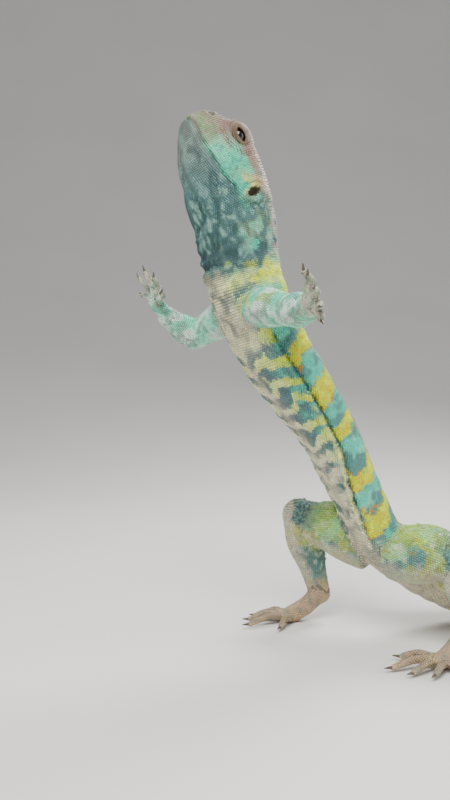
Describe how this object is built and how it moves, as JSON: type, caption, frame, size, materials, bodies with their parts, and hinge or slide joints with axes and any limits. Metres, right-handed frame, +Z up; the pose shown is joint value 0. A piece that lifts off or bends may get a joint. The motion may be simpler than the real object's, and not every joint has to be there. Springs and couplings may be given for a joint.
{
  "type": "uromastyx lizard",
  "caption": "Life-size still model of an ornate uromastyx reared up on its hind legs and spiny tail, hands held out, with blue-green, yellow and cream markings",
  "frame": {"origin": "bottom centre of the bounding box, on the floor under the belly", "axes": "+Z up, the animal's left side faces -Y, its belly faces -X and its tail points to +X"},
  "size_m": [0.2377, 0.1214, 0.1926],
  "materials": {
    "skin": "scaly skin, matt, blue-green with yellow and cream markings",
    "eye": "wet and glossy",
    "claw": "dull horn"
  },
  "bodies": {
    "root": {"head": "skin", "eye_left": "eye", "eye_right": "eye", "neck": "skin", "torso": "skin", "tail_base": "skin", "tail_middle": "skin", "tail_tip": "skin", "upper_arm_left": "skin", "forearm_left": "skin", "hand_left": "skin", "thigh_left": "skin", "shin_left": "skin", "foot_left": "skin", "upper_arm_right": "skin", "forearm_right": "skin", "hand_right": "skin", "thigh_right": "skin", "shin_right": "skin", "foot_right": "skin"}
  },
  "joints": []
}
